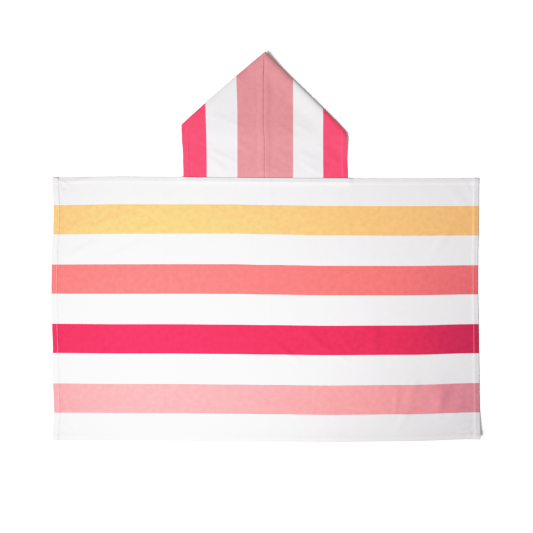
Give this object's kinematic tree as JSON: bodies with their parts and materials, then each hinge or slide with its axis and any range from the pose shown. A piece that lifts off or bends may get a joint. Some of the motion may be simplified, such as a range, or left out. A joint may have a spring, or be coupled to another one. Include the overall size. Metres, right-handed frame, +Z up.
{
  "type": "hooded towel",
  "caption": "Child's hooded beach towel laid flat: a wide striped rectangle with a pointed hood sewn to the middle of one long edge.",
  "frame": {"origin": "on the floor, under the middle of the laid towel's outline, hood included", "axes": "+X along the towel's long side, to the right as seen from above; +Y from the towel to the tip of the hood; +Z up, out of the outer face"},
  "size_m": [1.3073, 1.1893, 0.0143],
  "materials": {
    "body_cloth": "white brushed microfibre towelling with sharp printed bands of yellow, coral, crimson pink and light pink, soft sheen",
    "hood_cloth": "the same brushed towelling, printed with upright bands of crimson pink, white and dusty pink"
  },
  "bodies": {
    "root": {"body_panel": "body_cloth", "hood_left": "hood_cloth", "hood_right": "hood_cloth"}
  },
  "joints": []
}
